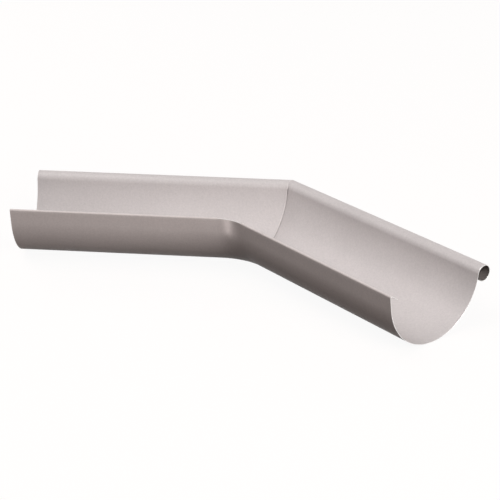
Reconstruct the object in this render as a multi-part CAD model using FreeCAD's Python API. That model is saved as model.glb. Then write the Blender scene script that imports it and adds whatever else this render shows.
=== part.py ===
import FreeCAD, Part
import math
import os

# Outside angle for a half-round eaves gutter: two straight troughs that meet at an
# obtuse corner, all one sheet of coated steel. The rear of the sheet runs round the
# corner in a smooth bend, and its front closes in a sharp mitre.
#
# Model frame: X across the corner, with the mitre in the plane X = 0. Y points away from
# the wall of the building, to the beaded front. Z is up. The origin is under the middle
# of the outline, at the level of the two lowest lines of the troughs.
#
# Section frame: u goes from the middle of the half round to the front, z goes up from
# there. A leg frame adds s, from the corner of the two gutter axes along the leg.

# Sheet and half round
SHEET = 0.6
INSIDE_RADIUS = 62.5

# Plan of the corner
TURN = 45.0
REAR_LENGTH = 250.0
BEND_RADIUS = 38.0
BLEND_WIDTH = 31.0

# Rear wall and its folded lip
REAR_ANGLE = 82.7
REAR_WALL = 15.7
LIP_WIDTH = 9.5
LIP_SLOPE = 35.0
LIP_CORNER = 4.0
FOLD_RADIUS = 1.0

# Front wall and its rolled bead
FRONT_ANGLE = 84.6
FRONT_WALL = 0.3
BEAD_DIAMETER = 18.0
BEAD_TURN = 290.0

# How far a cutting shape stands out past the faces that it cuts, and how near the bottom
# line a pole counts as lying on it
OVERCUT = 1.0
ON_THE_LINE = 0.001

# Radii of the sheet's middle layer
MID_RADIUS = INSIDE_RADIUS + SHEET / 2
OUTSIDE_RADIUS = INSIDE_RADIUS + SHEET
BEAD_MID_RADIUS = (BEAD_DIAMETER - SHEET) / 2
FOLD_MID_RADIUS = FOLD_RADIUS + SHEET / 2

HALF_TURN = math.radians(TURN / 2)
UP = FreeCAD.Vector(0, 0, 1)


def section_point(u, z):
    """A point of the section, drawn in the plane Y = 0."""
    return FreeCAD.Vector(u, 0, z)


def leg_point(s, u, z):
    """A point of the right-hand leg in the model, before the origin is moved."""
    x = s * math.cos(HALF_TURN) + u * math.sin(HALF_TURN)
    y = u * math.cos(HALF_TURN) - s * math.sin(HALF_TURN)
    return FreeCAD.Vector(x, y, z)


class Strip:
    """A bent strip of sheet, drawn along its middle layer by straight runs and arcs.

    Every run starts in the direction in which the last one ended, so each face of the
    sheet is a chain of lines and concentric arcs.
    """

    def __init__(self, start, heading):
        self.point = start
        self.heading = math.radians(heading)
        self.left = []
        self.right = []

    def side(self, point, heading, offset):
        """The point at this distance to the left of the middle layer."""
        return point + section_point(-math.sin(heading), math.cos(heading)) * offset

    def straight(self, length):
        end = self.point + direction(self.heading) * length
        for chain, offset in ((self.left, SHEET / 2), (self.right, -SHEET / 2)):
            first = self.side(self.point, self.heading, offset)
            last = self.side(end, self.heading, offset)
            chain.append(Part.LineSegment(first, last))
        self.point = end

    def arc(self, radius, turn):
        """Turn by so many degrees, to the left if positive, on the middle radius."""
        turn = math.radians(turn)
        hand = math.copysign(1, turn)
        centre = self.side(self.point, self.heading, hand * radius)
        for chain, offset in ((self.left, SHEET / 2), (self.right, -SHEET / 2)):
            reach = hand * radius - offset
            first, middle, last = (
                self.side(centre, self.heading + turn * part, -reach)
                for part in (0, 0.5, 1)
            )
            chain.append(Part.Arc(first, middle, last))
        self.heading += turn
        self.point = self.side(centre, self.heading, -hand * radius)

    def outline(self):
        """The closed chain of curves round the strip."""
        first_end = Part.LineSegment(self.right[0].StartPoint, self.left[0].StartPoint)
        last_end = Part.LineSegment(self.left[-1].EndPoint, self.right[-1].EndPoint)
        return [first_end, *self.left, last_end, *reversed(self.right)]


def direction(heading):
    """The unit step of the section plane at a heading, in radians from +u to +z."""
    return section_point(math.cos(heading), math.sin(heading))


def rear_rim():
    """The top of the rear wall's middle layer, straight on from the half round."""
    down = math.radians(-REAR_ANGLE)
    tangent = section_point(MID_RADIUS * math.sin(down), -MID_RADIUS * math.cos(down))
    return tangent - direction(down) * REAR_WALL


def draw_trough(strip):
    """The half round with its front wall and bead, from the foot of the rear wall.

    The half round is in three arcs, because the bend is round up to the bottom line and
    turns into the mitre between there and BLEND_WIDTH.
    """
    blend_angle = math.degrees(math.asin(BLEND_WIDTH / MID_RADIUS))
    strip.arc(MID_RADIUS, REAR_ANGLE)
    strip.arc(MID_RADIUS, blend_angle)
    strip.arc(MID_RADIUS, FRONT_ANGLE - blend_angle)
    strip.straight(FRONT_WALL)
    strip.arc(BEAD_MID_RADIUS, -BEAD_TURN / 2)
    strip.arc(BEAD_MID_RADIUS, -BEAD_TURN / 2)


def open_section():
    """The section in the bend, where the rear wall ends in a plain edge."""
    strip = Strip(rear_rim(), -REAR_ANGLE)
    strip.straight(REAR_WALL)
    draw_trough(strip)
    return strip.outline()


def fold_centre():
    """The centre of the arc in which the rear wall turns over into the lip."""
    down = math.radians(-REAR_ANGLE)
    foot = rear_rim() + direction(down) * FOLD_MID_RADIUS
    return foot + direction(down + math.pi / 2) * FOLD_MID_RADIUS


def point_on_lip(up):
    """A point of the lip's middle layer, so far up from its free edge to the fold."""
    up_lip = math.radians(180 - LIP_SLOPE)
    top_of_lip = fold_centre() + direction(up_lip - math.pi / 2) * FOLD_MID_RADIUS
    return top_of_lip - direction(up_lip) * (LIP_WIDTH - up)


def lipped_section():
    """The section of a straight leg, with the lip folded inwards and down.

    The lip is drawn first, up from its free edge.
    """
    lip_heading = 180 - LIP_SLOPE
    wall_heading = 360 - REAR_ANGLE
    strip = Strip(point_on_lip(0), lip_heading)
    strip.straight(LIP_WIDTH)
    strip.arc(FOLD_MID_RADIUS, wall_heading - lip_heading)
    strip.straight(REAR_WALL - FOLD_MID_RADIUS)
    draw_trough(strip)
    return strip.outline()


def straight_leg(bend_start, length):
    """The right-hand leg from the end of the bend to its open end."""
    wire = Part.Wire([curve.toShape() for curve in lipped_section()])
    turn = FreeCAD.Rotation(UP, 90 - TURN / 2)
    wire.Placement = FreeCAD.Placement(leg_point(bend_start, 0, 0), turn)
    run = leg_point(length, 0, 0) - leg_point(bend_start, 0, 0)
    return Part.Face(wire).extrude(run)


def lip_waste(bend_start):
    """What is cut off the lip beside the bend, so that its corner is round.

    It is drawn flat on the lip: so far along the leg from the bend, and so far up from
    the free edge.
    """
    def on_lip(along, up):
        place = point_on_lip(up)
        return leg_point(bend_start + along, place.x, place.z)

    outside = (
        on_lip(LIP_CORNER, 0),
        on_lip(LIP_CORNER, -OVERCUT),
        on_lip(-OVERCUT, -OVERCUT),
        on_lip(-OVERCUT, LIP_CORNER),
        on_lip(0, LIP_CORNER),
    )
    inset = LIP_CORNER * (1 - math.sqrt(0.5))
    corner = Part.Arc(outside[-1], on_lip(inset, inset), outside[0]).toShape()
    flat = Part.Face(Part.Wire([*Part.makePolygon(outside).Edges, corner]))
    across = direction(math.radians(90 - LIP_SLOPE))
    across = leg_point(0, across.x, across.z) * OVERCUT
    flat.translate(-across)
    return flat.extrude(across * 2)


def bend_patch(curve, axis_distance):
    """The surface that one curve of the section sweeps between the leg and the mitre.

    Each pole of the curve moves on a quadratic with three poles. The first lies in the
    plane where the bend starts, and the second on from it along the leg. The third lies
    in the mitre: up to the bottom line on the same circle about the bend's axis, so that
    the sheet runs round it, and in front of it where the leg's straight line gets to.
    """
    spline = curve.toBSpline()
    middle_weight = math.cos(HALF_TURN / 2)
    rows = []
    weights = []
    for pole, weight in zip(spline.getPoles(), spline.getWeights()):
        radius = axis_distance + pole.x
        mitred = pole.x > ON_THE_LINE
        mitre_radius = radius / math.cos(HALF_TURN) if mitred else radius
        steps = (
            (HALF_TURN, radius),
            (HALF_TURN / 2, radius / middle_weight),
            (0, mitre_radius),
        )
        rows.append([
            bend_point(angle, reach, pole.z, axis_distance) for angle, reach in steps
        ])
        weights.append([weight, weight * middle_weight, weight])
    surface = Part.BSplineSurface()
    surface.buildFromPolesMultsKnots(
        rows, spline.getMultiplicities(), [3, 3], spline.getKnots(), [0, 1],
        False, False, spline.Degree, 2, weights,
    )
    return surface


def bend_point(angle, radius, z, axis_distance):
    """A point at an angle from the mitre about the upright axis of the bend."""
    axis_y = -axis_distance / math.cos(HALF_TURN)
    return FreeCAD.Vector(radius * math.sin(angle), axis_y + radius * math.cos(angle), z)


def half_bend(axis_distance):
    """The right-hand half of the corner, from the leg to the mitre."""
    patches = [bend_patch(curve, axis_distance) for curve in open_section()]
    faces = [patch.toShape() for patch in patches]
    for border in (0, 1):
        edges = [patch.vIso(border).toShape() for patch in patches]
        faces.append(Part.Face(Part.Wire(edges)))
    shell = Part.makeShell(faces)
    shell.sewShape()
    solid = Part.makeSolid(shell.Shells[0] if shell.Shells else shell)
    if solid.Volume < 0:
        solid.reverse()
    return solid


def gutter_angle():
    """Both halves joined into the one sheet, with the origin under its middle."""
    rim_reach = -rear_rim().x
    axis_distance = BEND_RADIUS + rim_reach
    bend_start = axis_distance * math.tan(HALF_TURN)
    length = REAR_LENGTH + rim_reach * math.tan(HALF_TURN)
    leg = straight_leg(bend_start, length).cut(lip_waste(bend_start))
    half = leg.fuse(half_bend(axis_distance))
    sheet = half.fuse(half.mirror(FreeCAD.Vector(0, 0, 0), FreeCAD.Vector(1, 0, 0)))
    sheet = sheet.removeSplitter()

    face_angle = math.radians(FRONT_ANGLE)
    bead_u = MID_RADIUS * math.sin(face_angle) + FRONT_WALL * math.cos(face_angle)
    bead_u += BEAD_MID_RADIUS * math.sin(face_angle)
    front_y = (bead_u + BEAD_DIAMETER / 2) / math.cos(HALF_TURN)
    rear_u = fold_centre().x - FOLD_MID_RADIUS - SHEET / 2
    rear_y = leg_point(length, rear_u, 0).y
    sheet.translate(FreeCAD.Vector(0, -(front_y + rear_y) / 2, OUTSIDE_RADIUS))
    return sheet


os.makedirs("parts", exist_ok=True)
sheet = gutter_angle()
sheet.exportStep("parts/gutter_angle.step")
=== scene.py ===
import math

import bpy
import numpy as np
from bpy.props import FloatProperty, FloatVectorProperty, PointerProperty
from mathutils import Matrix, Vector


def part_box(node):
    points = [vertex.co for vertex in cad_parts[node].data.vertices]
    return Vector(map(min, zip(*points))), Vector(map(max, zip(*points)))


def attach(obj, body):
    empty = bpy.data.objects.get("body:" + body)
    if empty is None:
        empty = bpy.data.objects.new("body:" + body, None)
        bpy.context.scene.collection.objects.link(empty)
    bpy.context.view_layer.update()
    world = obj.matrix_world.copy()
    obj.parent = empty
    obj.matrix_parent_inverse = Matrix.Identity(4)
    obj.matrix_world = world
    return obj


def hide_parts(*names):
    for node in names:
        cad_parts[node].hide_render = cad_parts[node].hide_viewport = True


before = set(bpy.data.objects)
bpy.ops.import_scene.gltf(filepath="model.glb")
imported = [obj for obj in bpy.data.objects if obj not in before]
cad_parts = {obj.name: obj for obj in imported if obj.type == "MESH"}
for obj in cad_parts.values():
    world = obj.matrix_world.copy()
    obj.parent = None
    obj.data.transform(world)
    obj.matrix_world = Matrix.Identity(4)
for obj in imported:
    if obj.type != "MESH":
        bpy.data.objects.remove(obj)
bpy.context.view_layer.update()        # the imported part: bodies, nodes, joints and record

bl_info = {
    "name": "Half-round gutter angle",
    "version": (1, 0, 0),
    "blender": (4, 5, 0),
    "location": "View3D > Sidebar > Gutter",
    "description": "Forms an outside gutter angle from one coated steel sheet and lights it",
    "category": "Add Mesh",
}

NODE = "gutter_angle"
MM = 0.001

# The points that the lamps and the camera look at
LAMPS_AIM = (0.0, 0.0, 0.03)
CAMERA_AIM = (-0.00123, 0.01496, 0.01509)

# Lamps on a dome: name, degrees to the right of the rear, degrees up, width and height
DOME_LAMPS = (
    ("rear", -45, 62, (1.8, 1.8)),
    ("side", 60, 32, (1.35, 1.35)),
    ("low", 75, 9, (1.05, 0.6)),
    ("left", -105, 32, (1.35, 1.35)),
    ("front", 165, 32, (1.35, 1.35)),
)

# A small lamp low in front of the rear bend: its place, its aim, width and height. It
# shines in a narrow cone, so that its gloss shows nowhere else.
BEND_LAMP = (-0.0314, -0.1023, 0.0165), (-0.0016, -0.0334, 0.0575), (0.012, 0.045)

# Half the side of the square floor
FLOOR_HALF = 6.0

# Short steps of the section in the lip, the fold and the rear wall, in the half round
# behind, across and in front of the blend, and in the bead
LIP_STEPS = 5
FOLD_STEPS = 8
WALL_STEPS = 6
REAR_STEPS = 46
BLEND_STEPS = 18
FRONT_STEPS = 30
BEAD_STEPS = 60

# Where the short step for a free edge's bevel and the step after it end, as shares of
# their run
EDGE_STEP_ENDS = 0.015, 0.06

# Rows of the path. At the seam they are even, up to a share of the half bend. The others
# have a first step, its growth from row to row and a widest step, in shares of the half
# bend and in metres along half a leg.
SEAM_SHARE = 0.06
SEAM_ROWS = 24
BEND_ROWS = 0.004, 1.3, 0.045
LEG_ROWS = 0.15 * MM, 1.4, 5 * MM

# Share of the fold's stub that is drawn with the fold, with the rest in the lip, and the
# least length of the lip as a share of the thickness
STUB_ON_FOLD = 0.75
LEAST_LIP = 1 / 6

# Share of the thickness that is left at a sheared edge, and how bare of coat the sheet is
# on the last three rows, from the edge inwards
EDGE_THICKNESS = 0.55
EDGE_BARE = 1.0, 0.6, 0.3

# Slow waves of the sheet: share of the height, waves in one wave length, drift of the
# phase round the section, and first phase
WAVES = (0.5, 1.0, 1.7, 0.6), (0.25, 2.3, -2.4, 2.1), (0.25, 0.6, 3.1, 0.0)

# The seam's ridge beside its groove: its height as a share of the groove's depth, and its
# place in widths of the groove. The groove on the outer face is a share of the inner one.
RIDGE_HEIGHT = 0.55
RIDGE_PLACE = 1.9
OUTER_GROOVE = 0.6

# The seam round the bead: where it ends, over what angle it dies out there, and over what
# angle past the bead's foot its dark line turns faint
SEAM_END = math.radians(115)
SEAM_FADE = math.radians(40)
SEAM_FAINT = math.radians(10)

# The angle round the bead over which the painted shade inside the roll sets in
ROLL_SHADE_FADE = math.radians(25)

# Faces that meet at a greater angle than this have a sharp edge between them
SHARP_ANGLE = math.radians(32)

# How much the mottling, the flakes and the clouds change the coat's shade, and the width
# of the flakes as a share of the mottling's
SHADE_SHARES = 0.9, 0.4, 0.35
FLAKE_WIDTH = 0.35

# How far the colours of the seam, a dark joint with painted shadow, and of the painted
# shade inside the roll cover the coat where their shade is 1, and how bare the sheet is
# where its edge colour sets in and where it is full
SEAM_COVER = 0.55
ROLL_SHADE_COVER = 0.75
BARE_RANGE = 0.25, 0.9

# Height of the coat's fine bumps, and how strongly they turn the light
BUMP_HEIGHT = 0.06 * MM
BUMP_STRENGTH = 0.12


class SheetSizes(bpy.types.PropertyGroup):
    """The sizes of the formed sheet, the same as in the solid that it stands for."""

    thickness: FloatProperty(
        name="Sheet thickness", description="Coated steel sheet, face to face",
        default=0.6 * MM, unit="LENGTH", precision=5,
    )
    inside_radius: FloatProperty(
        name="Inside radius", description="Half round of the trough, on its wet face",
        default=62.5 * MM, unit="LENGTH", precision=4,
    )
    turn: FloatProperty(
        name="Turn", description="How far the gutter line turns at the corner",
        default=math.radians(45), subtype="ANGLE",
    )
    rear_length: FloatProperty(
        name="Rear length", description="Rear rim from the crossing of both rim lines to an end",
        default=250 * MM, unit="LENGTH", precision=4,
    )
    bend_radius: FloatProperty(
        name="Bend radius", description="Rear rim's bend in plan",
        default=38 * MM, unit="LENGTH", precision=4,
    )
    blend_width: FloatProperty(
        name="Blend width", description="From the bottom line to where the mitre is sharp",
        default=31 * MM, unit="LENGTH", precision=4,
    )
    rear_angle: FloatProperty(
        name="Rear angle", description="Where the rear wall leaves the half round",
        default=math.radians(82.7), subtype="ANGLE",
    )
    rear_wall: FloatProperty(
        name="Rear wall", description="Straight wall between the half round and the rim",
        default=15.7 * MM, unit="LENGTH", precision=4,
    )
    lip_width: FloatProperty(
        name="Lip width", description="Folded lip, from its fold to its free edge",
        default=9.5 * MM, unit="LENGTH", precision=4,
    )
    lip_slope: FloatProperty(
        name="Lip slope", description="How far the lip points down",
        default=math.radians(35), subtype="ANGLE",
    )
    lip_corner: FloatProperty(
        name="Lip corner", description="Rounded corner of the lip beside the bend",
        default=4 * MM, unit="LENGTH", precision=4,
    )
    fold_run: FloatProperty(
        name="Fold run", description="How far past the bend the fold takes to close",
        default=0.8 * MM, unit="LENGTH", precision=5,
    )
    fold_radius: FloatProperty(
        name="Fold radius", description="Inside radius of the fold at the rear rim",
        default=1 * MM, unit="LENGTH", precision=4,
    )
    # Painted highlight: the pale line along the top of the rear rim stands in for light caught
    # by the fold
    rim_line: FloatProperty(
        name="Rim line", description="Height of the light line along the top of the rear rim",
        default=0.8 * MM, unit="LENGTH", precision=5,
    )
    front_angle: FloatProperty(
        name="Front angle", description="Where the front wall leaves the half round",
        default=math.radians(84.6), subtype="ANGLE",
    )
    front_wall: FloatProperty(
        name="Front wall", description="Straight wall between the half round and the bead",
        default=0.3 * MM, unit="LENGTH", precision=4,
    )
    bead_diameter: FloatProperty(
        name="Bead diameter", description="Rolled front bead, outside",
        default=18 * MM, unit="LENGTH", precision=4,
    )
    bead_turn: FloatProperty(
        name="Bead turn", description="How far round the bead is rolled",
        default=math.radians(290), subtype="ANGLE",
    )
    wave_length: FloatProperty(
        name="Wave length", description="Longest of the sheet's slow waves along a leg",
        default=190 * MM, unit="LENGTH", precision=4,
    )
    waviness: FloatProperty(
        name="Waviness", description="Height of the sheet's slow waves along a leg",
        default=0.05 * MM, unit="LENGTH", precision=5,
    )
    seam_depth: FloatProperty(
        name="Seam depth", description="Groove in the wet face where the mitre closes",
        default=0.35 * MM, unit="LENGTH", precision=5,
    )
    seam_width: FloatProperty(
        name="Seam width", description="Half the width of that groove",
        default=0.8 * MM, unit="LENGTH", precision=5,
    )


class CoatFinish(bpy.types.PropertyGroup):
    """The colours and gloss of the coated sheet."""

    coat_color: FloatVectorProperty(
        name="Coat colour", description="Metallic silver-grey coat on the wet face",
        default=(0.592, 0.545, 0.537), subtype="COLOR", min=0, max=1,
    )
    outer_color: FloatVectorProperty(
        name="Outer coat colour", description="The same coat on the outer face, a little warmer",
        default=(0.592, 0.517, 0.498), subtype="COLOR", min=0, max=1,
    )
    # Painted highlight on the rear rim's fold: how far it goes to the pale cut-edge colour
    rim_highlight_strength: FloatProperty(
        name="Rim light", description="How far the fold's top goes to the cut edge's colour",
        default=0.18, subtype="FACTOR", min=0, max=1,
    )
    edge_color: FloatVectorProperty(
        name="Cut edge colour", description="Zinc and steel on the sheared edges",
        default=(0.88, 0.86, 0.84), subtype="COLOR", min=0, max=1,
    )
    # The seam's colour is a dark joint line and, in part, a painted shadow of the lap's edge
    seam_joint_shadow_color: FloatVectorProperty(
        name="Seam colour", description="Shadowed joint line of the front mitre",
        default=(0.3, 0.27, 0.265), subtype="COLOR", min=0, max=1,
    )
    # Painted shade: the dark colour inside the rolled bead stands in for the shade in its
    # hollow, not for dust
    roll_shade_color: FloatVectorProperty(
        name="Roll colour", description="Dusty sheet inside the rolled bead",
        default=(0.16, 0.14, 0.13), subtype="COLOR", min=0, max=1,
    )
    gloss: FloatProperty(
        name="Roughness", description="Mean roughness of the semi-gloss coat",
        default=0.36, subtype="FACTOR", min=0, max=1,
    )
    sheen: FloatProperty(
        name="Sheen", description="Strength of the coat's clear reflection, 0.5 is glass",
        default=0.01, subtype="FACTOR", min=0, max=1,
    )
    metal: FloatProperty(
        name="Metal", description="Share of bare metal flakes in the coat",
        default=0.03, subtype="FACTOR", min=0, max=1,
    )
    grain: FloatProperty(
        name="Grain", description="Width of the coat's fine mottling",
        default=2.2 * MM, unit="LENGTH", precision=5,
    )
    cloud_width: FloatProperty(
        name="Cloud width", description="Width of the coat's slow changes of shade",
        default=70 * MM, unit="LENGTH", precision=4,
    )
    shade_range: FloatProperty(
        name="Shade range", description="How far the shade goes up and down",
        default=0.15, subtype="FACTOR", min=0, max=1,
    )


class StudioSettings(bpy.types.PropertyGroup):
    """The floor, the lamps and the camera."""

    floor_color: FloatVectorProperty(
        name="Floor colour", description="Plain matt floor",
        default=(0.072, 0.056, 0.049), subtype="COLOR", min=0, max=1,
    )
    backdrop_glow: FloatProperty(
        name="Backdrop glow", description="What lifts the floor to white when seen",
        default=0.935, subtype="FACTOR", min=0, max=1,
    )
    air_glow: FloatProperty(
        name="Air glow", description="White of the air when seen, as of the lit floor",
        default=0.96, subtype="FACTOR", min=0, max=1,
    )
    lamp_distance: FloatProperty(
        name="Lamp distance", description="From the dome lamps to the object",
        default=2.4, unit="LENGTH",
    )
    rear_power: FloatProperty(
        name="Rear lamp", description="Large soft lamp high up on the camera's left",
        default=32.6, unit="POWER",
    )
    side_power: FloatProperty(
        name="Side lamp", description="Soft lamp that lights the left leg's rear wall",
        default=32.8, unit="POWER",
    )
    low_power: FloatProperty(
        name="Low lamp", description="Low lamp that lights the same wall from the side",
        default=17.0, unit="POWER",
    )
    left_power: FloatProperty(
        name="Left lamp", description="Soft lamp that lights the right leg from inside",
        default=17.6, unit="POWER",
    )
    front_power: FloatProperty(
        name="Front lamp", description="Soft lamp on the beaded side, away from the camera",
        default=11.3, unit="POWER",
    )
    bend_power: FloatProperty(
        name="Bend lamp", description="Small lamp whose gloss shows in the rear bend",
        default=0.004, unit="POWER",
    )
    bend_spread: FloatProperty(
        name="Bend lamp's cone", description="Full angle of the bend lamp's light",
        default=math.radians(44), subtype="ANGLE",
    )
    ambient: FloatProperty(
        name="Ambient", description="Even light from all round",
        default=0.01, subtype="FACTOR", min=0, max=1,
    )
    camera_distance: FloatProperty(
        name="Camera distance", description="From the camera to the point it looks at",
        default=1.6023, unit="LENGTH", precision=4,
    )
    camera_azimuth: FloatProperty(
        name="Camera azimuth", description="Camera's turn to the right of the rear",
        default=math.radians(28.34), subtype="ANGLE",
    )
    camera_elevation: FloatProperty(
        name="Camera elevation", description="Camera's height over the horizon",
        default=math.radians(24.39), subtype="ANGLE",
    )
    camera_roll: FloatProperty(
        name="Camera roll", description="Camera's turn about its own axis",
        default=math.radians(0.11), subtype="ANGLE",
    )
    camera_lens: FloatProperty(
        name="Focal length", description="On a 36 mm wide sensor",
        default=100.75, unit="CAMERA",
    )


class Column:
    """The section's middle layer, cut into short steps from the lip to the bead.

    u points to the front and z up, from the centre of the half round. Each step has its
    place, the direction across the sheet towards the wet face, and the angle about the
    centre.
    """

    def __init__(self):
        self.parts = []

    def add(self, u, z, across_u, across_z, angle):
        """Adds steps, each quantity by rows and steps or as one value for all."""
        arrays = np.broadcast_arrays(u, z, across_u, across_z, angle)
        self.parts.append([np.atleast_2d(a) for a in arrays])

    def joined(self, rows):
        """Each quantity as one array of rows by steps."""
        return [
            np.concatenate([np.broadcast_to(p[k], (rows, p[k].shape[1])) for p in self.parts], 1)
            for k in range(5)
        ]


def steps(count):
    """Even shares of a run, up to its end, without its start."""
    return np.linspace(0, 1, count + 1)[1:]


def edge_steps(count):
    """Shares of a run that starts at a free edge, with one short step for its bevel."""
    bevel_end, next_end = EDGE_STEP_ENDS
    return np.concatenate([[0, bevel_end], np.linspace(next_end, 1, count)])


def middle_radius(sizes):
    """The radius of the half round in the middle of the sheet."""
    return sizes.inside_radius + sizes.thickness / 2


def blend_angle(sizes):
    """How far round from the bottom line the mitre turns sharp."""
    return math.asin(sizes.blend_width / middle_radius(sizes))


def rim_reach(sizes):
    """How far the rear rim lies behind the centre of the half round."""
    wall = sizes.rear_wall * math.cos(sizes.rear_angle)
    return middle_radius(sizes) * math.sin(sizes.rear_angle) + wall


def lip_and_fold(sizes, run, column):
    """The lip and the fold at the rear rim, on every row of the path.

    The fold is an arc from the top of the rear wall. Past the bend it closes over a short
    run. A stub goes straight on from the arc to the height of the rim, as long as the
    radius times the tangent of half the angle that the arc lacks to a right angle. Then
    the lip grows to its width, round its corner. So the rim of the bend is a plain edge.
    """
    radius = sizes.fold_radius + sizes.thickness / 2
    full_turn = math.pi - sizes.rear_angle + sizes.lip_slope
    closed = np.clip(2 * run / sizes.fold_run, 0, 1)
    grown = np.clip(2 * run / sizes.fold_run - 1, 0, 1)
    corner = 1 - np.clip((run - sizes.fold_run) / sizes.lip_corner, 0, 1)
    width = sizes.lip_width - sizes.lip_corner * (1 - np.sqrt(1 - corner ** 2))
    arc = closed * full_turn * radius
    stub = radius * np.tan(np.maximum(math.pi / 2 - closed * full_turn, 0) / 2)

    down = -sizes.rear_angle
    ahead = np.array([math.cos(down), math.sin(down)])
    inward = np.array([-math.sin(down), math.cos(down)])
    foot = middle_radius(sizes) * np.array([math.sin(down), -math.cos(down)])
    foot = foot - ahead * (sizes.rear_wall - radius)

    def on_fold(share):
        """A point on the arc and most of the stub, and the direction across there."""
        gone = share * (arc + STUB_ON_FOLD * stub)
        bent = np.minimum(gone, arc) / radius
        straight = np.maximum(gone - arc, 0)
        up = radius * np.sin(bent) + straight * np.cos(bent)
        over = radius * (1 - np.cos(bent)) + straight * np.sin(bent)
        u = foot[0] - ahead[0] * up + inward[0] * over
        z = foot[1] - ahead[1] * up + inward[1] * over
        across_u = inward[0] * np.cos(bent) + ahead[0] * np.sin(bent)
        across_z = inward[1] * np.cos(bent) + ahead[1] * np.sin(bent)
        return u, z, across_u, across_z

    u, z, across_u, across_z = on_fold(1.0)
    lip = (1 - STUB_ON_FOLD) * stub + grown * width
    lip = np.maximum(lip, LEAST_LIP * sizes.thickness)
    back = lip * (1 - edge_steps(LIP_STEPS)[None, :])
    column.add(u - across_z * back, z + across_u * back, across_u, across_z, down)
    column.add(*on_fold(1 - steps(FOLD_STEPS)[None, :]), down)
    return foot


def draw_section(sizes, run):
    """The middle layer from the lip's free edge to the bead's, on every row of the path.

    Wall: a straight line that touches the half round. Half round: u is the radius times
    the sine, and z minus the radius times the cosine, of the angle from straight down.
    Bead: a circle that touches the front wall, gone round clockwise.
    """
    radius = middle_radius(sizes)
    column = Column()
    wall_foot = lip_and_fold(sizes, run, column)

    rear, front = -sizes.rear_angle, sizes.front_angle
    wall_end = radius * np.array([math.sin(rear), -math.cos(rear)])
    wall = wall_foot[:, None] + (wall_end - wall_foot)[:, None] * steps(WALL_STEPS)
    column.add(wall[0], wall[1], -math.sin(rear), math.cos(rear), rear)

    blend = blend_angle(sizes)
    angle = np.concatenate([
        rear * (1 - steps(REAR_STEPS)),
        blend * steps(BLEND_STEPS),
        blend + (front - blend) * steps(FRONT_STEPS),
    ])
    column.add(
        radius * np.sin(angle), -radius * np.cos(angle), -np.sin(angle), np.cos(angle), angle
    )

    across = np.array([-math.sin(front), math.cos(front)])
    front_wall = sizes.front_wall * np.array([math.cos(front), math.sin(front)])
    bead_foot = radius * np.array([math.sin(front), -math.cos(front)]) + front_wall
    bead = (sizes.bead_diameter - sizes.thickness) / 2
    centre = bead_foot - across * bead
    share = 1 - edge_steps(BEAD_STEPS)[::-1]
    around = math.atan2(across[1], across[0]) - sizes.bead_turn * share
    column.add(
        centre[0] + bead * np.cos(around), centre[1] + bead * np.sin(around),
        np.cos(around), np.sin(around), front + sizes.bead_turn * share,
    )
    return column.joined(len(run))


def graded(first, growth, widest, total):
    """Places from 0 to total, whose steps grow from the first one up to the widest."""
    count = math.ceil(math.log(widest / first) / math.log(growth))
    grown = np.cumsum(first * growth ** np.arange(count))
    rest = max(1, math.ceil((total - grown[-1]) / widest))
    even = grown[-1] + (total - grown[-1]) * np.linspace(0, 1, rest + 1)[1:]
    return np.concatenate([[0], grown, even])


def path_rows(sizes, straight):
    """The rows from the left end to the right one, closest together at the seam.

    Each has its side, its share of the half bend, from 0 in the mitre to 1 where the leg
    starts, and its distance past there.
    """
    share = np.concatenate([
        np.linspace(0, SEAM_SHARE, SEAM_ROWS),
        SEAM_SHARE + graded(*BEND_ROWS, 1 - SEAM_SHARE)[1:],
    ])
    half = graded(*LEG_ROWS, straight / 2)
    run = np.concatenate([half[1:], straight - half[::-1][1:]])
    run = np.concatenate([0 * share, run])
    share = np.concatenate([share, np.ones(len(run) - len(share))])
    side = np.concatenate([-np.ones(len(share) - 1), np.ones(len(share))])
    order = np.concatenate([np.arange(len(share))[:0:-1], np.arange(len(share))])
    return side[:, None], share[order][:, None], run[order][:, None]


def carry(sizes, u, z, angle, rows):
    """Carries a section round the corner and out along both legs.

    In the bend each point goes on a quadratic curve with three poles: on the mitre, on
    the leg's line at half the angle, and where the leg starts. Behind the bottom line
    the mitre pole keeps its distance from the upright axis of the bend, which makes the
    curve a circle. In front of the blend it lies on the leg's line. Between them the
    bottom line's share goes down as the square of the sine of half the angle left.
    """
    side, share, run = rows
    half_turn = sizes.turn / 2
    blend = blend_angle(sizes)
    axis = sizes.bend_radius + rim_reach(sizes)

    reach = axis + u
    left = np.clip(blend - angle, 0, blend) / 2
    bottom_share = (np.sin(left) / math.sin(blend / 2)) ** 2
    kept = np.where(angle < 0, reach, bottom_share * axis)
    stretch = 1 / math.cos(half_turn) - 1
    mitre = reach * (1 + stretch) - kept * stretch

    middle = math.cos(half_turn / 2)
    weights = (1 - share) ** 2, 2 * share * (1 - share) * middle, share ** 2
    total = weights[0] + weights[1] + weights[2]
    middle_x = reach / middle * math.sin(half_turn / 2)
    middle_y = reach / middle * math.cos(half_turn / 2)
    x = (weights[1] * middle_x + weights[2] * reach * math.sin(half_turn)) / total
    y = weights[0] * mitre + weights[1] * middle_y + weights[2] * reach * math.cos(half_turn)
    x = x + run * math.cos(half_turn)
    y = y / total - axis / math.cos(half_turn) - run * math.sin(half_turn)
    return side * x, y, z + 0 * x


def slow_waves(sizes, x, angle):
    """Waves of a rolled sheet, from 0 to 1: sines along the leg that drift round it.

    They die out towards both rims as the square of the cosine of the angle.
    """
    along = 2 * math.pi * x / sizes.wave_length
    waves = sum(
        share * np.sin(pace * along + drift * angle + phase)
        for share, pace, drift, phase in WAVES
    )
    return (0.5 + 0.5 * waves) * np.cos(np.clip(angle, -math.pi / 2, math.pi / 2)) ** 2


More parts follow.
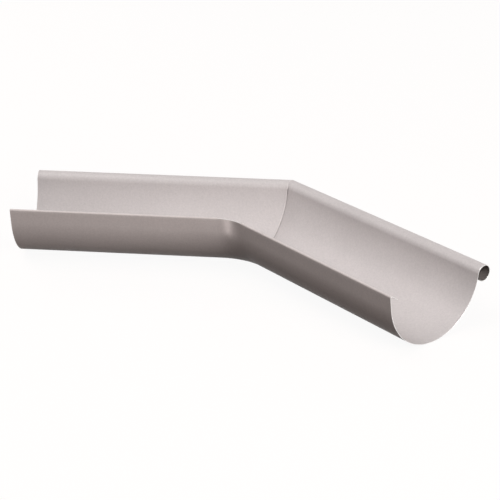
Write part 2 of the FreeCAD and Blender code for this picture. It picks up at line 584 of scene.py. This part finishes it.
def seam_zone(sizes, angle):
    """Where the front mitre has its seam: from the blend up to the top of the bead.

    It sets in evenly over the second half of the blend's angle, and dies out evenly over
    the last stretch of the bead that has it.
    """
    half_blend = blend_angle(sizes) / 2
    lower = np.clip((angle - half_blend) / half_blend, 0, 1)
    upper = np.clip((sizes.front_angle + SEAM_END - angle) / SEAM_FADE, 0, 1)
    return lower * upper


def seam_joint_and_painted_shadow(sizes, x, angle):
    """How dark the seam is, as a dark joint with a painted shadow: a line on the wall, darkest
    at the bead's foot, faint over it.

    Across, it is a bell three quarters as wide as the groove. Its strength goes down from
    1 to 0.2 past the foot, with half as much again in a narrow bell at the foot itself.
    """
    line = np.exp(-(x / (0.75 * sizes.seam_width)) ** 2)
    past = (angle - sizes.front_angle) / SEAM_FAINT
    strength = 1 - 0.8 * np.clip(past, 0, 1) + 0.5 * np.exp(-(past * 2) ** 2)
    return line * seam_zone(sizes, angle) * strength


def shaped_face(sizes, section, rows, half, sign):
    """One face of the sheet, with its slow waves and the seam pressed into it.

    The face lies half the thickness across from the middle layer. Both faces go up and
    down alike with the waves. The groove is a bell across the mitre that goes into each
    face, and on the wet one the ridge is a second bell beside it.
    """
    u, z, across_u, across_z, angle = section
    u_face = u + sign * half * across_u
    z_face = z + sign * half * across_z
    x = carry(sizes, u_face, z_face, angle, rows)[0]
    zone = seam_zone(sizes, angle)
    width = sizes.seam_width
    groove = -sizes.seam_depth * np.exp(-(x / width) ** 2)
    ridge = RIDGE_HEIGHT * sizes.seam_depth * np.exp(-(x / width + RIDGE_PLACE) ** 2)
    lift = zone * (groove + ridge if sign > 0 else OUTER_GROOVE * groove)
    lift = sign * lift + sizes.waviness * slow_waves(sizes, x, angle)
    return carry(sizes, u_face + lift * across_u, z_face + lift * across_z, angle, rows)


def thinned(count):
    """Shares of the thickness along rows or steps, less on the first and the last."""
    share = np.ones(count)
    share[[0, -1]] = EDGE_THICKNESS
    return share


def bare_edges(rows, steps_across):
    """How bare of coat a face is, most on its last rows and steps."""
    along = np.zeros(rows)
    along[:3] = EDGE_BARE
    along[-3:] = EDGE_BARE[::-1]
    across = np.zeros(steps_across)
    across[:2] = EDGE_BARE[:2]
    across[-2:] = EDGE_BARE[1::-1]
    return np.maximum(along[:, None], across[None, :])


def rim_highlight_bell(sizes, height):
    """The painted highlight along the rear rim: a bell that dies out below the highest point."""
    below_rim = height.max(1)[:, None] - height
    return np.exp(-(below_rim / sizes.rim_line) ** 2)


def there_and_back(wet, outer):
    """Values along the wet face from the lip to the bead, and back along the outer one."""
    return np.concatenate([wet, outer[:, ::-1]], 1)


def sheet_surface(sizes, straight):
    """Both faces of the sheet as one closed outline carried along the path of rows.

    The outline goes along the wet face from the lip to the bead and back along the outer
    face. The sheet is a little thinner on its last row and step, as a sheared edge is.
    Five values per point tell the finish where the bare edges, the seam with its dark joint
    and painted shadow, the painted shade inside the rolled bead, the outer face and the
    painted highlight on the top of the rear rim are.
    """
    rows = path_rows(sizes, straight)
    section = draw_section(sizes, rows[2])
    height, angle = section[1], section[4]
    row_count, step_count = angle.shape
    half = sizes.thickness / 2 * thinned(step_count)[None, :] * thinned(row_count)[:, None]

    wet = shaped_face(sizes, section, rows, half, 1)
    outer = shaped_face(sizes, section, rows, half, -1)
    points = np.stack([there_and_back(a, b) for a, b in zip(wet, outer)], 2)

    nowhere, everywhere = np.zeros(angle.shape), np.ones(angle.shape)
    bare = bare_edges(row_count, step_count)
    # The seam: a dark joint line with painted shadow, darkest at the bead's foot
    seam = seam_joint_and_painted_shadow(sizes, wet[0], angle)
    # Painted shade on the outer face inside the rolled bead
    rolled = np.clip((angle - sizes.front_angle) / ROLL_SHADE_FADE - 0.5, 0, 1)
    # Painted highlight along the top of the rear rim
    rim = rim_highlight_bell(sizes, height)
    return points, {
        "cut_edge": there_and_back(bare, bare),
        "seam_line": there_and_back(seam, seam),
        "roll_inside": there_and_back(nowhere, rolled),
        "outer_face": there_and_back(nowhere, everywhere),
        "rim_line": there_and_back(rim, rim),
    }


def outline_faces(rows, loop):
    """Four-sided faces between the rows, and across the sheet at both ends."""
    grid = np.arange(rows * loop).reshape(rows, loop)
    after = np.roll(grid, -1, axis=1)
    body = np.stack([grid[:-1], grid[1:], after[1:], after[:-1]], 2).reshape(-1, 4)
    near = np.arange(loop // 2 - 1)
    far = loop - 1 - near
    first = np.stack([grid[0, near], grid[0, near + 1], grid[0, far - 1], grid[0, far]], 1)
    last = np.stack([grid[-1, near], grid[-1, far], grid[-1, far - 1], grid[-1, near + 1]], 1)
    return np.concatenate([body, first, last])


def signed_volume(points, quads):
    """The volume inside the faces, positive where they point outwards.

    Each face is two triangles. The volume between a triangle and the origin is a sixth
    of the triple product of its corners.
    """
    a, b, c, d = (points[quads[:, k]] for k in range(4))
    parts = np.einsum("ij,ij->i", a, np.cross(b, c)) + np.einsum("ij,ij->i", a, np.cross(c, d))
    return parts.sum() / 6


def mesh_from_quads(name, points, quads, attributes):
    """A mesh object at the origin, with smooth faces and sharp cut edges."""
    if signed_volume(points, quads) < 0:
        quads = quads[:, ::-1]
    mesh = bpy.data.meshes.new(name)
    mesh.vertices.add(len(points))
    mesh.vertices.foreach_set("co", points.astype(np.float32).ravel())
    mesh.loops.add(quads.size)
    mesh.loops.foreach_set("vertex_index", quads.astype(np.int32).ravel())
    mesh.polygons.add(len(quads))
    mesh.polygons.foreach_set("loop_start", np.arange(0, quads.size, 4, dtype=np.int32))
    mesh.polygons.foreach_set("use_smooth", np.ones(len(quads), bool))
    mesh.update(calc_edges=True)
    mesh.validate()
    for key, values in attributes.items():
        layer = mesh.attributes.new(key, "FLOAT", "POINT")
        layer.data.foreach_set("value", values.astype(np.float32).ravel())
    mesh.set_sharp_from_angle(angle=SHARP_ANGLE)
    piece = bpy.data.objects.new(name, mesh)
    bpy.context.scene.collection.objects.link(piece)
    return piece


class Maths:
    """A socket whose arithmetic adds Math nodes to its finish."""

    def __init__(self, finish, socket):
        self.finish = finish
        self.socket = socket

    def math(self, operation, first, second, clamp=False):
        settings = {"operation": operation, "use_clamp": clamp}
        node = self.finish.node("ShaderNodeMath", settings, {0: first, 1: second})
        return Maths(self.finish, node.outputs[0])

    def __add__(self, other):
        return self.math("ADD", self, other)

    def __radd__(self, other):
        return self.math("ADD", other, self)

    def __sub__(self, other):
        return self.math("SUBTRACT", self, other)

    def __rsub__(self, other):
        return self.math("SUBTRACT", other, self)

    def __mul__(self, other):
        return self.math("MULTIPLY", self, other)

    def __rmul__(self, other):
        return self.math("MULTIPLY", other, self)

    def clamped(self):
        return self.math("ADD", self, 0.0, clamp=True)


class Finish:
    """The node tree of a material or of the world, with its nodes added call by call."""

    def __init__(self, owner):
        owner.use_nodes = True
        self.tree = owner.node_tree
        self.tree.nodes.clear()

    def node(self, kind, settings=None, sockets=None):
        """Adds a node, sets its settings first and then its sockets, by value or link."""
        node = self.tree.nodes.new(kind)
        for key, value in (settings or {}).items():
            setattr(node, key, value)
        for key, value in (sockets or {}).items():
            if isinstance(value, Maths):
                value = value.socket
            if isinstance(value, bpy.types.NodeSocket):
                self.tree.links.new(value, node.inputs[key])
            else:
                node.inputs[key].default_value = value
        return node

    def value(self, socket):
        return Maths(self, socket)

    def attribute(self, name):
        node = self.node("ShaderNodeAttribute", {"attribute_name": name})
        return self.value(node.outputs["Fac"])

    def smooth(self, value, low, high):
        """0 below low, 1 above high, smooth between them."""
        node = self.node(
            "ShaderNodeMapRange", {"interpolation_type": "SMOOTHSTEP"},
            {"Value": value, "From Min": low, "From Max": high},
        )
        return self.value(node.outputs["Result"])

    def mix(self, factor, first, second):
        """A colour between two others."""
        node = self.node(
            "ShaderNodeMix", {"data_type": "RGBA"}, {0: factor, 6: first, 7: second}
        )
        return node.outputs[2]

    def scaled(self, color, factor):
        """A colour made darker or lighter by a factor."""
        node = self.node(
            "ShaderNodeVectorMath", {"operation": "SCALE"}, {0: color, "Scale": factor}
        )
        return node.outputs[0]

    def noise(self, place, width, detail=2.0, roughness=0.5):
        """Noise of about that width, in metres, around 0.5."""
        node = self.node("ShaderNodeTexNoise", None, {
            "Vector": place, "Scale": 1 / width, "Detail": detail, "Roughness": roughness,
        })
        return self.value(node.outputs[0])

    def seen(self):
        """1 where a ray looks at it straight or in a reflection, and 0 for all light."""
        rays = self.node("ShaderNodeLightPath").outputs
        names = "Is Camera Ray", "Is Glossy Ray", "Is Transmission Ray"
        camera, glossy, through = (self.value(rays[name]) for name in names)
        return (camera + glossy + through).clamped()


def four(color):
    """A colour with full alpha."""
    return (*color, 1.0)


def coated_steel(finish):
    """Semi-gloss silver coat: fine mottling, slow shade changes, light sheared edges.

    Each noise swings about 0.5, so the shade, too, has its mean at 0.5. The clouds and
    the mottling change the roughness a little, and flakes and bare edges add metal.
    """
    material = bpy.data.materials.new("silver_coated_steel")
    coat = Finish(material)
    place = coat.node("ShaderNodeTexCoord").outputs["Object"]
    mottling = coat.noise(place, finish.grain, detail=3.0, roughness=0.65)
    flakes = coat.noise(place, FLAKE_WIDTH * finish.grain, detail=1.0)
    clouds = coat.noise(place, finish.cloud_width, detail=3.0, roughness=0.55)
    cut = coat.attribute("cut_edge")
    seam = coat.attribute("seam_line")
    roll = coat.attribute("roll_inside")
    outer = coat.attribute("outer_face")
    rim = coat.attribute("rim_line")

    by_mottling, by_flakes, by_clouds = SHADE_SHARES
    shade = by_mottling * mottling + by_flakes * flakes + by_clouds * clouds
    shade = (shade - (sum(SHADE_SHARES) - 1) / 2).clamped()
    color = coat.mix(outer, four(finish.coat_color), four(finish.outer_color))
    color = coat.scaled(color, 1 - finish.shade_range + 2 * finish.shade_range * shade)
    # Painted highlight: the top of the rear rim turns towards the pale cut-edge colour
    color = coat.mix((finish.rim_highlight_strength * rim).clamped(), color, four(finish.edge_color))
    # The seam's dark joint line with its painted shadow
    color = coat.mix((SEAM_COVER * seam).clamped(), color, four(finish.seam_joint_shadow_color))
    # Painted shade inside the rolled bead
    color = coat.mix((ROLL_SHADE_COVER * roll).clamped(), color, four(finish.roll_shade_color))
    color = coat.mix(coat.smooth(cut, *BARE_RANGE), color, four(finish.edge_color))
    rough = finish.gloss - 0.06 + 0.08 * clouds + 0.05 * mottling
    metallic = finish.metal + 0.04 * flakes + 0.5 * cut

    bump = coat.node("ShaderNodeBump", None, {
        "Height": 0.6 * mottling + 0.4 * flakes,
        "Strength": BUMP_STRENGTH, "Distance": BUMP_HEIGHT,
    })
    shader = coat.node("ShaderNodeBsdfPrincipled", None, {
        "Base Color": color, "Roughness": rough.clamped(), "Metallic": metallic.clamped(),
        "Specular IOR Level": finish.sheen, "Normal": bump.outputs[0],
    })
    coat.node("ShaderNodeOutputMaterial", None, {"Surface": shader.outputs[0]})
    return material


def studio_floor(studio):
    """Matt floor that the picture shows near white, and that keeps the shadow."""
    material = bpy.data.materials.new("studio_floor")
    floor = Finish(material)
    matt = floor.node("ShaderNodeBsdfDiffuse", None, {"Color": four(studio.floor_color)})
    glow = floor.node(
        "ShaderNodeEmission", None, {"Strength": studio.backdrop_glow * floor.seen()}
    )
    both = floor.node("ShaderNodeAddShader", None, {0: matt.outputs[0], 1: glow.outputs[0]})
    floor.node("ShaderNodeOutputMaterial", None, {"Surface": both.outputs[0]})
    return material


def studio_air(studio):
    """The world: a little even light, and the same white as the floor where it is seen."""
    world = bpy.data.worlds.new("studio_air")
    air = Finish(world)
    back = air.node("ShaderNodeBackground", None, {
        "Color": (1, 1, 1, 1), "Strength": studio.ambient + studio.air_glow * air.seen(),
    })
    air.node("ShaderNodeOutputWorld", None, {"Surface": back.outputs[0]})
    return world


def outward(azimuth, elevation):
    """The direction out to a place so far to the right of the rear and so high."""
    return Vector((
        math.sin(azimuth) * math.cos(elevation),
        -math.cos(azimuth) * math.cos(elevation),
        math.sin(elevation),
    ))


def looking(place, aim):
    """The pose of a lamp or camera at a place that looks at a point, upright."""
    turn = (Vector(aim) - Vector(place)).to_track_quat("-Z", "Y")
    return Matrix.Translation(place) @ turn.to_matrix().to_4x4()


def add_lamp(name, place, aim, size, power):
    """A rectangular soft lamp, not seen in the picture itself."""
    light = bpy.data.lights.new(name, "AREA")
    light.shape = "RECTANGLE"
    light.size, light.size_y = size
    light.energy = power
    lamp = bpy.data.objects.new(name, light)
    lamp.matrix_world = looking(place, aim)
    lamp.visible_camera = False
    bpy.context.scene.collection.objects.link(lamp)
    return lamp


class GUTTER_OT_form_sheet(bpy.types.Operator):
    """Form the gutter angle from one sheet and give it its coat"""

    bl_idname = "gutter.form_sheet"
    bl_label = "Form sheet"

    def execute(self, context):
        sizes = context.scene.gutter_sheet
        mitre_slope = math.tan(sizes.turn / 2)
        bend_start = (sizes.bend_radius + rim_reach(sizes)) * mitre_slope
        straight = sizes.rear_length + rim_reach(sizes) * mitre_slope - bend_start
        points, attributes = sheet_surface(sizes, straight)
        rows, loop = points.shape[:2]

        low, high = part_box(NODE)
        flat = points.reshape(-1, 3)
        flat[:, 1] += high.y - flat[:, 1].max()
        flat[:, 2] += low.z + middle_radius(sizes) + sizes.thickness / 2
        quads = outline_faces(rows, loop)
        piece = mesh_from_quads("formed_gutter_sheet", flat, quads, attributes)
        piece.data.materials.append(coated_steel(context.scene.gutter_finish))
        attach(piece, "root")
        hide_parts(NODE)
        return {"FINISHED"}


class GUTTER_OT_set_studio(bpy.types.Operator):
    """Set the floor, the lamps, the camera and the view round the gutter angle"""

    bl_idname = "gutter.set_studio"
    bl_label = "Set studio"

    def execute(self, context):
        scene = context.scene
        studio = scene.gutter_studio
        self.add_floor(scene, studio)
        self.add_lamps(studio)
        self.add_camera(scene, studio)
        scene.world = studio_air(studio)
        scene.view_settings.view_transform = "Standard"
        return {"FINISHED"}

    def add_floor(self, scene, studio):
        mesh = bpy.data.meshes.new("studio_floor")
        signs = (-1, -1), (1, -1), (1, 1), (-1, 1)
        corners = [(a * FLOOR_HALF, b * FLOOR_HALF, 0) for a, b in signs]
        mesh.from_pydata(corners, [], [(0, 1, 2, 3)])
        mesh.materials.append(studio_floor(studio))
        floor = bpy.data.objects.new("studio_floor", mesh)
        scene.collection.objects.link(floor)

    def add_lamps(self, studio):
        middle = Vector(LAMPS_AIM)
        for name, azimuth, elevation, size in DOME_LAMPS:
            out = outward(math.radians(azimuth), math.radians(elevation))
            power = getattr(studio, name + "_power")
            add_lamp(name + "_lamp", middle + out * studio.lamp_distance, middle, size, power)
        place, aim, size = BEND_LAMP
        bend_lamp = add_lamp("bend_lamp", place, aim, size, studio.bend_power)
        bend_lamp.visible_diffuse = False
        bend_lamp.data.spread = studio.bend_spread

    def add_camera(self, scene, studio):
        """The camera looks past the bend at a point low over the floor."""
        data = bpy.data.cameras.new("camera")
        data.sensor_width = 36.0
        data.lens = studio.camera_lens
        camera = bpy.data.objects.new("camera", data)
        aim = Vector(CAMERA_AIM)
        out = outward(studio.camera_azimuth, studio.camera_elevation)
        place = aim + out * studio.camera_distance
        roll = Matrix.Rotation(studio.camera_roll, 4, "Z")
        camera.matrix_world = looking(place, aim) @ roll
        scene.collection.objects.link(camera)
        scene.camera = camera


class GUTTER_PT_panel(bpy.types.Panel):
    """The sizes, colours and steps of the gutter angle"""

    bl_idname = "GUTTER_PT_panel"
    bl_label = "Gutter angle"
    bl_space_type = "VIEW_3D"
    bl_region_type = "UI"
    bl_category = "Gutter"

    def draw(self, context):
        groups = (
            (context.scene.gutter_sheet, "gutter.form_sheet"),
            (context.scene.gutter_finish, None),
            (context.scene.gutter_studio, "gutter.set_studio"),
        )
        for settings, operator in groups:
            box = self.layout.box()
            for key in settings.__annotations__:
                box.prop(settings, key)
            if operator:
                box.operator(operator)


CLASSES = (
    SheetSizes,
    CoatFinish,
    StudioSettings,
    GUTTER_OT_form_sheet,
    GUTTER_OT_set_studio,
    GUTTER_PT_panel,
)


def register():
    for cls in CLASSES:
        bpy.utils.register_class(cls)
    bpy.types.Scene.gutter_sheet = PointerProperty(type=SheetSizes)
    bpy.types.Scene.gutter_finish = PointerProperty(type=CoatFinish)
    bpy.types.Scene.gutter_studio = PointerProperty(type=StudioSettings)


def unregister():
    del bpy.types.Scene.gutter_studio
    del bpy.types.Scene.gutter_finish
    del bpy.types.Scene.gutter_sheet
    for cls in reversed(CLASSES):
        bpy.utils.unregister_class(cls)


def main():
    register()
    bpy.ops.gutter.form_sheet()
    bpy.ops.gutter.set_studio()


if __name__ == "__main__":
    main()
